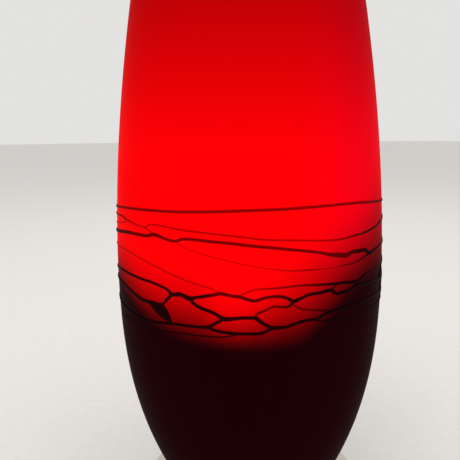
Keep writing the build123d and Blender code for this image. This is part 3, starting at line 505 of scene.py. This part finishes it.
# A strand gives its width in mm, the share of light that it lets through, and its way on the
# unrolled glass: mm round from the front towards +X, mm above the widest circle, and where they
# differ there, the width and the share.
strands = [
    (1.55, 0.28, [
        (-117.5, 51.5, 1.8, 0.1), (-87, 54.5, 1.6, 0.2), (-60, 56, 1.6, 0.22), (-38.5, 57),
        (-21, 58), (-1, 59), (18, 59.5), (41, 60), (68, 59.5, 1.6, 0.24), (107, 56.5, 1.6, 0.16),
        (150, 54), (205, 52), (283, 50.5), (350, 50), (400, 50.5), (448, 51.5)]),
    (1.1, 0.5, [
        (-117.5, 47, 1.4, 0.25), (-94.5, 48.5, 1.4, 0.25), (-85.5, 47.5, 1.4, 0.3), (-73.5, 46.5),
        (-65, 46), (-61, 48), (-52, 48.5), (-38.5, 47.5), (-26.5, 47), (-10.5, 46), (-1, 45),
        (7.5, 44), (23.5, 43), (41, 41.5), (51, 41, 1.2, 0.38), (63, 41.5, 1.4, 0.26),
        (78.5, 42, 1.5, 0.1), (92, 43, 1.4, 0.08), (102.5, 44, 1.4, 0.06), (150, 46), (190, 45),
        (228, 46), (246, 48.5), (262, 47.5), (283, 46.5), (318, 44), (350, 45), (372, 47.5),
        (392, 47), (420, 45.5), (448, 47, 1.4, 0.25)]),
    (0.9, 0.45, [(-175, 36), (-145, 38.5), (-117.5, 41), (-92.5, 45), (-85.5, 47.5)]),
    (0.8, 0.4, [(-65, 46), (-59.5, 44), (-58, 43)]),
    (1.65, 0.2, [
        (-117.5, 36, 2.5, 0.03), (-87, 40, 2.2, 0.06), (-73.5, 41, 2.0, 0.12),
        (-63, 41.5, 1.9, 0.14), (-58, 43, 2.1, 0.1), (-53, 42.5, 1.9, 0.14), (-48, 41.5), (-42, 41),
        (-38, 42.5), (-32.5, 43), (-21, 42.5), (-10.5, 42), (-1, 41), (12.5, 39.5), (29, 37),
        (38.5, 35), (43.5, 33.5, 2.0, 0.18), (49.5, 32.5, 2.8, 0.18), (56.5, 31.5, 2.9, 0.17),
        (61.5, 32.5, 2.4, 0.12), (67.5, 32, 2.4, 0.05), (75, 31.5, 2.4, 0.02),
        (80.5, 28.5, 2.6, 0.02), (87, 29, 1.9, 0.03), (101.5, 29.5), (120, 29),
        (134, 31.5, 2.1, 0.1), (147, 34, 2.2, 0.08), (158, 33.5), (176, 33), (205, 35), (222, 34),
        (232, 31.5, 2.2, 0.08), (243, 30, 2.2, 0.08), (256, 31), (268, 33.5), (290, 34.5),
        (320, 36), (337, 36.5), (348, 34, 2.1, 0.1), (358, 33, 2.1, 0.1), (372, 34.5), (400, 36.5),
        (430, 35), (448, 36, 2.0, 0.05)]),
    (0.75, 0.7, [
        (-42, 41), (-35.5, 38), (-29.5, 36.5), (-21, 34.5), (-10.5, 32.5), (-1, 30.5), (7.5, 29),
        (20.5, 27, 0.9, 0.55), (32, 26.5, 1.0, 0.45), (44.5, 26), (55, 26, 1.0, 0.4),
        (63, 26, 1.0, 0.3), (70.5, 27, 1.2, 0.2), (78, 28, 1.3, 0.1), (80.5, 28.5)]),
    (1.0, 0.55, [
        (-117.5, 27.5), (-87, 29), (-74, 28), (-59.5, 26), (-48.5, 23.5), (-38.5, 21), (-29.5, 19),
        (-21.5, 17.5), (-18, 16), (-16, 15)]),
    (1.0, 0.45, [
        (-6, 14), (-3, 15.5), (2.5, 17.5), (13, 18, 1.1, 0.35), (26.5, 18.5, 1.2, 0.25),
        (38, 17.5, 1.5, 0.12), (48, 16.5, 1.8, 0.05), (55, 16, 1.8, 0.03), (64.5, 14.5, 2.2, 0.02),
        (68, 14.5, 1.9, 0.02), (73.5, 16.5, 1.7, 0.03), (83, 17), (93.5, 17), (108, 15.5),
        (122, 17, 1.4, 0.1), (138, 20), (156, 20.5, 1.5, 0.1), (175, 18.5), (192, 17.5, 1.6, 0.1),
        (206, 19.5), (222, 23), (240, 22.5), (256, 19.5, 1.5, 0.1), (270, 19), (283, 21),
        (300, 24.5), (318, 24.5), (336, 21, 1.6, 0.1), (350, 20), (366, 22.5), (384, 26, 1.5, 0.1),
        (402, 26), (420, 24, 1.5, 0.1), (448, 27.5)]),
    (1.8, 0.04, [
        (-282, 7, 2.2), (-272, 4.5), (-260, 6), (-249, 10.5), (-236, 12.5, 2.2), (-224, 10),
        (-213, 6, 2.3), (-202, 5, 2.2), (-190, 8.5), (-178, 13), (-165, 14, 2.3), (-153, 11),
        (-141, 8.5, 2.2), (-129, 10, 2.2), (-117, 12), (-96, 15), (-80.5, 15.5), (-69, 15.5),
        (-60, 15.5), (-52, 14.5), (-48, 13.5), (-45.5, 11, 2.3), (-49.5, 6.5), (-51.5, 4.2)]),
    (1.9, 0.03, [
        (-45.5, 11, 2.2), (-42.5, 11.5, 2.6), (-39, 12, 2.6), (-33.5, 10.5, 2.8), (-30, 11.5),
        (-24, 13), (-19.5, 14, 1.9, 0.1), (-16, 15, 2.1, 0.1), (-10.5, 14, 1.8, 0.12),
        (-5.5, 13.5, 1.9, 0.12), (-1, 12, 1.9, 0.12), (3, 11.5, 1.8, 0.12), (7.5, 13, 1.7, 0.12),
        (13, 13.5, 1.7, 0.12), (17, 13, 1.7, 0.1), (20.5, 11.5), (22.5, 10, 2.5), (27, 11.5),
        (31.5, 13), (37.5, 13), (44.5, 13.5, 2.4), (48, 11), (52.5, 10.5, 2.2), (59.5, 11),
        (65.5, 12.5, 2.3), (73.5, 11.5), (87, 10.5), (100, 8, 2.1), (112, 5.5, 2.2), (122, 7.5),
        (134, 12), (146, 13, 2.2), (158, 10.5), (168, 7, 2.3), (180, 8.5), (192, 12.5),
        (206, 14, 2.2), (218, 11), (228, 7.5, 2.6), (240, 9), (252, 13), (264, 14, 2.2),
        (275, 10.5), (283.5, 7, 2.2)]),
    (2.1, 0.03, [
        (-33.5, 10.5, 2.4), (-31, 8), (-27, 6), (-21.5, 4.5), (-18, 3), (-14.5, 1, 2.8), (-8, 1.5),
        (-4, 2), (1, 2), (2.5, 2, 2.5), (5.5, -0.5), (9.5, -3), (11.5, -4, 2.7)]),
    (1.8, 0.03, [
        (-14.5, 1, 2.2), (-18.5, -1.5), (-23.5, -4.5, 2.2), (-30, -5), (-39.5, -5.5), (-46, -6),
        (-53, -7), (-59.5, -8), (-66, -8.5), (-85, -9), (-110, -8)]),
    (1.9, 0.03, [
        (-23.5, -4.5), (-19, -6), (-14.5, -6.5), (-8, -7), (-3, -7), (2.5, -7), (6.5, -6.5),
        (10.5, -4.5), (11.5, -4, 2.5), (18.5, -4), (24, -2.5), (29.5, -1.5), (35.5, -1.5),
        (39, -0.5), (43.5, 1, 2.2), (48.5, 1.5), (56, 1.5), (64, 1.5), (78, 1), (92, 0),
        (106, -2.5, 2.2), (118, -3.5, 2.1), (130, -1), (142, 1), (154, -0.5, 2.2), (166, -3.5),
        (178, -5, 2.1), (190, -2.5), (202, 0), (214, -1.5, 2.2), (228, -5), (240, -4, 2.2),
        (252, -0.5), (265, 0.5), (277, -2.5, 2.2), (290, -6, 2.1), (303, -4.5), (316, -0.5, 2.2),
        (330, 0.5), (343, -2, 2.2), (356, -4, 2.1), (369, -2, 2.2), (382, 2), (395, 2.5), (408, 0),
        (421, 0.5, 2.2), (434, 3.5), (448.5, 5.5)]),
    (1.9, 0.05, [
        (-117, 5.5), (-97, 6.5), (-84, 5.5, 2.1), (-75, 4, 2.4), (-67, 3, 2.5), (-59, 3.6, 1.7),
        (-51.5, 4.2, 1.5)]),
    (1.4, 0.2, [
        (22.5, 10, 1.7, 0.05), (20, 7.5, 1.6, 0.08), (16.5, 7.5), (12, 8), (7.5, 6), (3, 4),
        (2.5, 2)]),
    (1.2, 0.1, [(44.5, 13.5), (48.5, 16)]),
    (1.6, 0.05, [(65.5, 12.5), (64.5, 14.5)]),
    (1.0, 0.25, [(21, 9), (27, 5.5), (35.5, 3.5), (43.5, 2)]),
    (1.1, 0.15, [
        (35.5, -2.5), (42, -4), (48.5, -4), (56, -5), (80, -6), (104, -8), (130, -9.5), (160, -8.5),
        (192, -7.5), (215, -9.5), (240, -11), (272, -10), (303, -9), (322, -11), (343, -11.5),
        (375, -10.5), (410, -9), (455.5, -8)]),
    (1.1, 0.15, [
        (-95, -15), (-66.5, -13.5), (-46, -11), (-30.5, -10), (-16.5, -9.5), (-11, -8.5),
        (-7, -7.5)]),
    (1.7, 0.05, [(108, 15.5), (105, 12), (100, 8)]),
    (1.9, 0.03, [(112, 5.5), (109.5, 2), (106, -2.5)]),
    (1.5, 0.1, [(146, 13), (150, 16.5), (156, 20.5)]),
    (2.0, 0.03, [(168, 7), (164, 3.5), (158, 0.5), (154, -0.5)]),
    (1.6, 0.08, [(206, 14), (200, 16), (192, 17.5)]),
    (2.0, 0.03, [(228, 7.5), (224, 3), (218, 0.5), (214, -1.5)]),
    (1.8, 0.04, [(228, 7.5), (234, 4.5), (238, 0.5), (240, -4)]),
    (1.5, 0.1, [(256, 19.5), (258.5, 16.5), (264, 14)]),
    (1.9, 0.03, [(283.5, 7), (281.5, 2.5), (277, -2.5)]),
    (1.5, 0.06, [(293.5, 4.5), (300, 3.5), (308, 1.5), (316, -0.5)]),
    (1.6, 0.08, [(329.5, 12.5), (331.5, 17), (336, 21)]),
    (1.9, 0.03, [(352.5, 6), (350, 2), (343, -2)]),
    (1.8, 0.04, [(363.5, 5), (366.5, 1.5), (369, -2)]),
    (1.5, 0.1, [(400.5, 14), (394, 17), (388, 21.5), (384, 26)]),
    (1.7, 0.05, [(424.5, 8.5), (424, 4.5), (421, 0.5)]),
    (1.4, 0.1, [(420, 24), (427, 20), (433, 14.5), (436.5, 10)]),
    (1.1, 0.1, [(118, -3.5), (112, -6), (104, -8)]),
    (1.1, 0.1, [(178, -5), (184, -6.5), (192, -7.5)]),
    (1.1, 0.1, [(290, -6), (296, -8), (303, -9)]),
    (1.1, 0.1, [(356, -4), (350, -8.5), (343, -11.5)]),
    (0.8, 0.6, [(147, 34), (160, 30.5), (176, 27.5), (196, 26), (214, 27), (232, 31.5)]),
    (0.9, 0.5, [(290, 34.5), (304, 31), (318, 28.5), (336, 28), (348, 29.5), (358, 33)]),
    (0.9, 0.5, [(268, 33.5), (262, 37.5), (252, 41), (240, 44), (228, 46)]),
    # two drops that spread between threads, one at the back and one in front
    (0.8, 0.02, [(221, 2, 0.8), (223.5, 4, 2.6), (227, 5.5, 4.6), (231, 5, 4), (234.5, 3, 1.6)]),
    (0.8, 0.02, [
        (-67, 3), (-63, 3.2, 2.4), (-60, 2.6, 4.4), (-56.5, 1.6, 6.6), (-53, 0.4, 8.2),
        (-50, -1.6, 6.8), (-47.3, -4, 3.4), (-45.5, -6, 0.8)]),
]
# The whole web lies a little askew, and right of the front the sagging glass has pulled it round.
askew = 0.75              # mm, as are the sizes below: down on the +X side and up on the other
web_drop = 0.15
web_turn = 0.25
pull = 1.6
pull_middle = 50.0
pull_reach = 25.0
points, edges, widths, shares = [], [], [], []
for width, share, way in strands:
    for i, (round_mm, up_mm, *own) in enumerate(way):
        if i:
            edges.append((len(points) - 1, len(points)))
        pulled = web_turn + pull * math.exp(-((round_mm - pull_middle) / pull_reach) ** 2)
        lowered = web_drop + askew * math.sin(round_mm / widest_radius)
        points.append(((round_mm + pulled) * MM, (up_mm - lowered) * MM, 0))
        widths.append((own[0] if own else width) * MM)
        shares.append(own[1] if len(own) > 1 else share)
ways = sketched("thread_ways", points, edges)
for name, numbers in (("width", widths), ("clear", shares)):
    ways.data.attributes.new(name, "FLOAT", "POINT").data.foreach_set("value", numbers)

# Black glass: glossy and opaque where it is thick, deep red where the light comes through.
black_glass, tree, shader = finish("black_glass_thread", Base_Color=linear("#0e0102"),
                                   Roughness=0.12, Specular_IOR_Level=0.0, Coat_Weight=0.08,
                                   Coat_Roughness=0.1, Coat_IOR=1.2, Emission_Strength=1.0)
shown = add(tree, "ShaderNodeGroup", {"node_tree": glow}).outputs["Light"]
clear = add(tree, "ShaderNodeAttribute", {"attribute_name": "clear"})
through = add(tree, "ShaderNodeMath", {"operation": "MULTIPLY"},
              {0: shown, 1: clear.outputs["Fac"]})
shine = add(tree, "ShaderNodeMix", {"data_type": "RGBA"},
            {0: through.outputs[0], 6: linear("#080001"), 7: linear("#f90000")})
tree.links.new(shine.outputs[2], shader.inputs["Emission Color"])

# The trailing: round threads follow the ways, and each point is dropped from a metre outside on
# the vase. The more glass a thread has, the flatter it melts.
trail_step = 1.5          # mm, as is the relief
most_relief = 0.6
round_sides = 8
trail = bpy.data.node_groups.new("thread_trailing", "GeometryNodeTree")
trail.interface.new_socket("Ways", in_out="INPUT", socket_type="NodeSocketGeometry")
trail.interface.new_socket("Vase", in_out="INPUT", socket_type="NodeSocketObject")
for name in ("Step", "Widest Radius", "Ring Level", "Most Relief"):
    trail.interface.new_socket(name, in_out="INPUT", socket_type="NodeSocketFloat")
trail.interface.new_socket("Threads", in_out="OUTPUT", socket_type="NodeSocketGeometry")
given = add(trail, "NodeGroupInput").outputs
line = add(trail, "GeometryNodeMeshToCurve", {}, {"Mesh": given["Ways"]})
smooth = add(trail, "GeometryNodeCurveSplineType", {"spline_type": "CATMULL_ROM"},
             {"Curve": line.outputs[0]})
even = add(trail, "GeometryNodeResampleCurve", {"mode": "LENGTH"},
           {"Curve": smooth.outputs[0], "Length": given["Step"]})
section = add(trail, "GeometryNodeCurvePrimitiveCircle", {},
              {"Resolution": round_sides, "Radius": 0.5})
width = add(trail, "GeometryNodeInputNamedAttribute", {"data_type": "FLOAT"}, {"Name": "width"})
tubes = add(trail, "GeometryNodeCurveToMesh", {},
            {"Curve": even.outputs[0], "Profile Curve": section.outputs[0],
             "Scale": width.outputs[0], "Fill Caps": True})
at = add(trail, "GeometryNodeInputPosition").outputs[0]
apart = add(trail, "ShaderNodeSeparateXYZ", {}, {0: at}).outputs
angle = add(trail, "ShaderNodeMath", {"operation": "DIVIDE"},
            {0: apart["X"], 1: given["Widest Radius"]})
outwards = add(trail, "ShaderNodeVectorRotate", {"rotation_type": "Z_AXIS"},
               {"Vector": (0, -1, 0), "Angle": angle.outputs[0]})
height = add(trail, "ShaderNodeMath", {"operation": "ADD"}, {0: apart["Y"], 1: given["Ring Level"]})
level = add(trail, "ShaderNodeCombineXYZ", {}, {"Z": height.outputs[0]})
start = add(trail, "ShaderNodeVectorMath", {"operation": "ADD"},
            {0: level.outputs[0], 1: outwards.outputs[0]})
inwards = add(trail, "ShaderNodeVectorMath", {"operation": "SCALE"},
              {0: outwards.outputs[0], "Scale": -1.0})
target = add(trail, "GeometryNodeObjectInfo", {}, {"Object": given["Vase"]})
dropped = add(trail, "GeometryNodeRaycast", {},
              {"Target Geometry": target.outputs["Geometry"], "Source Position": start.outputs[0],
               "Ray Direction": inwards.outputs[0], "Ray Length": 1.0})
stood = add(trail, "ShaderNodeMath", {"operation": "DIVIDE"},
            {0: apart["Z"], 1: given["Most Relief"]})
melted = add(trail, "ShaderNodeMath", {"operation": "TANH"}, {0: stood.outputs[0]})
relief = add(trail, "ShaderNodeMath", {"operation": "MULTIPLY"},
             {0: melted.outputs[0], 1: given["Most Relief"]})
stands = add(trail, "ShaderNodeVectorMath", {"operation": "SCALE"},
             {0: outwards.outputs[0], "Scale": relief.outputs[0]})
place = add(trail, "ShaderNodeVectorMath", {"operation": "ADD"},
            {0: dropped.outputs["Hit Position"], 1: stands.outputs[0]})
laid = add(trail, "GeometryNodeSetPosition", {},
           {"Geometry": tubes.outputs[0], "Position": place.outputs[0]})
soft = add(trail, "GeometryNodeSetShadeSmooth", {}, {"Geometry": laid.outputs[0]})
real = add(trail, "GeometryNodeRealizeInstances", {}, {"Geometry": soft.outputs[0]})
glazed = add(trail, "GeometryNodeSetMaterial", {},
             {"Geometry": real.outputs[0], "Material": black_glass})
add(trail, "NodeGroupOutput", {}, {"Threads": glazed.outputs[0]})
threads = grown("trailed_threads", ways, trail,
                {"Vase": vase, "Step": trail_step * MM, "Widest Radius": widest_radius * MM,
                 "Ring Level": ring_level * MM, "Most Relief": most_relief * MM})
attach(threads, "lamp")
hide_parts("glass_threads")

# Lampholder's cap and sleeve. Phenolic, pressed hot, screwed on the stem and on each other.
# Phenolic: black with a hint of brown, polished by the mould.
phenolic, tree, shader = finish("black_phenolic", Roughness=0.22)
grains = grain(tree, shader, size=3.0 * MM, strength=0.05, depth=0.1 * MM, detail=2)
drift(tree, shader, grains, "#0e0d0d", "#171514")
dress(phenolic, "holder_dome", "holder_skirt")

# Insert that carries shell, tongue and terminals. Steatite, pressed and fired unglazed, clamped
# between cap and sleeve. Steatite: off white and faintly grainy.
steatite, tree, shader = finish("steatite", Roughness=0.55)
grains = grain(tree, shader, size=0.7 * MM, strength=0.25, depth=0.05 * MM)
drift(tree, shader, grains, "#dcd7cb", "#ece8de")
dress(steatite, "holder_insert")

# Screw shell that takes the bulb. Thin brass sheet, drawn to a cup, its thread rolled in from
# outside, riveted to the insert by its flange.
shell_radius = 13.4       # mm, as are the sizes below
shell_sheet = 0.4
shell_flange = 15.5
shell_thread_depth = 0.7
bulb_pitch = 3.629
shell_sides = 72
thread_rows = 0.4
shell_low, shell_high = (corner.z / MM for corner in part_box("screw_shell"))
rows = spaced(shell_low + shell_sheet, shell_high, thread_rows)
flange = [(shell_radius, shell_low), (shell_flange, shell_low),
          (shell_flange, shell_low + shell_sheet)]
shell_outline = (flange + [(shell_radius + shell_sheet, height) for height in rows]
                 + [(shell_radius, height) for height in rows[::-1]])
shell = rolled(turned("rolled_screw_shell", shell_outline, shell_sides, brass),
               bulb_pitch, -shell_thread_depth, shell_low + shell_sheet, shell_high)
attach(shell, "lamp")
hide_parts("screw_shell")

# Bulb's screw cap. Thin brass sheet with the thread rolled into it, nickel plated and crimped to
# the body. Its round crests shine in bands.
cap_radius = 13.0         # mm, as are the sizes below
cap_sheet = 0.5
cap_floor = 2.0
cap_hole = 1.0
cap_plain = 2.5           # at each end, without thread
cap_thread_depth = 0.8
cap_sides = 72
cap_low, cap_high = (corner.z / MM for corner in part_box("bulb_cap"))
rows = spaced(cap_low + cap_floor, cap_high, thread_rows)
cap_metal, tree, shader = finish("rolled_nickel_plate", Metallic=1.0, Roughness=0.25)
grains = grain(tree, shader, size=1.5 * MM, strength=0.1, depth=0.03 * MM)
drift(tree, shader, grains, "#b3b1ab", "#cbc8c0")
cap_outline = ([(cap_hole, cap_low), (cap_radius - cap_floor, cap_low)]
               + [(cap_radius, height) for height in rows]
               + [(cap_radius - cap_sheet, height) for height in rows[::-1]]
               + [(cap_hole, cap_low + cap_floor)])
cap = rolled(turned("bulb_screw_cap", cap_outline, cap_sides, cap_metal),
             bulb_pitch, cap_thread_depth, cap_low + cap_plain, cap_high - cap_plain)
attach(cap, "bulb_lift")
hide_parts("bulb_cap")

# Insulator in the cap's end, round the contact. Black glass, melted in.
# Vitrite: deep black with a liquid shine.
vitrite, tree, shader = finish("black_vitrite", Roughness=0.1)
grains = grain(tree, shader, size=2.0 * MM, strength=0.15, depth=0.1 * MM)
drift(tree, shader, grains, "#0b0b0d", "#19181a")
dress(vitrite, "bulb_insulator")

# Bulb's body, which is its heat sink too. Moulded polybutylene, crimped into the cap.
# Its white is satin, from a spark-finished mould.
bulb_white, tree, shader = finish("white_moulded_plastic", Roughness=0.42)
grains = grain(tree, shader, size=0.5 * MM, strength=0.12, depth=0.04 * MM, detail=2)
drift(tree, shader, grains, "#dddcd8", "#e8e7e4")
dress(bulb_white, "bulb_body")

# Circuit board in the body. Glass-fibre laminate, slid in from above.
# Laminate: green, with lighter copper fields under its lacquer.
field_size = 3 * MM
laminate, tree, shader = finish("green_laminate", Roughness=0.35)
at = add(tree, "ShaderNodeTexCoord").outputs["Object"]
fields = add(tree, "ShaderNodeTexVoronoi", {"distance": "CHEBYCHEV"},
             {"Vector": at, "Scale": 1 / field_size})
drift(tree, shader, fields.outputs["Distance"], "#1f5a35", "#123c24", low=0.42, high=0.46)
dress(laminate, "driver_board")

# Round board with the light emitters. Aluminium under solder mask, pressed into the body's rim.
# Solder mask: clean satin white.
solder_mask, tree, shader = finish("white_solder_mask", Roughness=0.3)
grains = grain(tree, shader, size=1.0 * MM, strength=0.1, depth=0.03 * MM)
drift(tree, shader, grains, "#e4e4e0", "#efefec")
dress(solder_mask, "led_plate")

# Light emitters, soldered to the round board and lit.
# Phosphor in silicone: yellow, with a warm white light.
phosphor, tree, shader = finish("yellow_phosphor", Roughness=0.3, Emission_Color=linear("#ffe2a8"),
                                Emission_Strength=1.5)
grains = grain(tree, shader, size=0.5 * MM, strength=0.2, depth=0.05 * MM)
drift(tree, shader, grains, "#d9b23c", "#ecd069")
dress(phosphor, "led_chips")

# Bulb's dome. Opal plastic, blow moulded and pushed over the body's rim. It spreads the light,
# warm white at its top and weaker near the rim.
dome_low, dome_high = (corner.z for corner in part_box("bulb_dome"))
opal, tree, shader = finish("opal_plastic", Base_Color=linear("#d2c8b4"), Roughness=0.35,
                            Emission_Strength=0.75)
at = add(tree, "ShaderNodeTexCoord").outputs["Object"]
apart = add(tree, "ShaderNodeSeparateXYZ", {}, {0: at})
share = add(tree, "ShaderNodeMapRange", {"interpolation_type": "SMOOTHSTEP"},
            {"Value": apart.outputs["Z"], "From Min": dome_low, "From Max": dome_high})
warm = add(tree, "ShaderNodeMix", {"data_type": "RGBA"},
           {0: share.outputs["Result"], 6: linear("#c9965c"), 7: linear("#ffe9c4")})
tree.links.new(warm.outputs[2], shader.inputs["Emission Color"])
dress(opal, "bulb_dome")

# Wires in foot and stem. Stranded copper in soft PVC, satin: brown is live, black the switched
# wire, blue neutral, and the earth wire is green and yellow.
band_width = 2 * MM
wave_length = math.pi / 10    # m, of a wave texture with scale 1
for node, colour, band in (("lead_live", "#4a2814", "#54301a"),
                           ("lead_switched", "#131314", "#1b1b1c"),
                           ("lead_neutral", "#1a3f86", "#214a96"),
                           ("lead_earth", "#3f7a2c", "#c9b62e")):
    pvc, tree, shader = finish("pvc_" + node, Roughness=0.38)
    at = add(tree, "ShaderNodeTexCoord").outputs["Object"]
    bands = add(tree, "ShaderNodeTexWave", {"bands_direction": "Z"},
                {"Vector": at, "Scale": wave_length / (2 * band_width), "Distortion": 0.5})
    drift(tree, shader, bands.outputs["Fac"], colour, band, low=0.0, high=1.0)
    dress(pvc, node)

# Studio: pale matt paper floor, soft light from above on three sides, and an even, pale
# surround.
floor_radius = 12.0       # m
floor_sides = 96
corners = [2 * math.pi * i / floor_sides for i in range(floor_sides)]
floor = sketched("studio_floor",
                 [(floor_radius * math.cos(a), floor_radius * math.sin(a), 0) for a in corners], [],
                 [tuple(range(floor_sides))])
paper, tree, shader = finish("studio_paper", Roughness=0.8, Specular_IOR_Level=0.2)
grains = grain(tree, shader, size=8 * MM, strength=0.05, depth=0.1 * MM)
drift(tree, shader, grains, "#e6e4e1", "#eae8e5")
floor.data.materials.append(paper)

surround = bpy.data.worlds.new("studio")
surround.use_nodes = True
bpy.context.scene.world = surround
tree = surround.node_tree
sky = tree.nodes["Background"]
sky.inputs["Color"].default_value = linear("#f4f3f1")
sky.inputs["Strength"].default_value = 0.85

aimed_at = Vector((0, 0, 0.2))
for name, place, size, watts in (("key", (-0.6, -0.8, 1.9), 1.2, 8),
                                 ("fill", (0.9, -0.5, 1.7), 1.2, 4),
                                 ("back", (0.1, 0.9, 1.7), 1.2, 4)):
    softbox = bpy.data.lights.new(name, "AREA")
    softbox.size = size
    softbox.energy = watts
    holder = bpy.data.objects.new(name, softbox)
    holder.location = place
    holder.rotation_euler = (aimed_at - Vector(place)).to_track_quat("-Z", "Y").to_euler()
    bpy.context.scene.collection.objects.link(holder)

# Camera: level with the vase's shoulder, a third of a metre from its axis, tilted down and held a
# little askew.
focal_px = 480.0
frame_px = 460.0
horizon_px = 100.0        # above the middle of the frame
axis_px = 19.6            # vase's axis right of the middle of the frame
lean = math.radians(-0.4)
sensor_mm = 36.0
camera_distance = 0.3285  # m, as are the sizes below
camera_height = 0.2875
nearest_shown = 0.01
camera_data = bpy.data.cameras.new("camera")
camera_data.sensor_width = sensor_mm
camera_data.lens = focal_px * sensor_mm / frame_px
camera_data.shift_x = -axis_px / frame_px
camera_data.clip_start = nearest_shown
camera = bpy.data.objects.new("camera", camera_data)
camera.location = (0, -camera_distance, camera_height)
camera.rotation_mode = "ZYX"
camera.rotation_euler = (math.pi / 2 - math.atan(horizon_px / focal_px), 0, lean)
bpy.context.scene.collection.objects.link(camera)
bpy.context.scene.camera = camera
bpy.context.scene.view_settings.view_transform = "Standard"
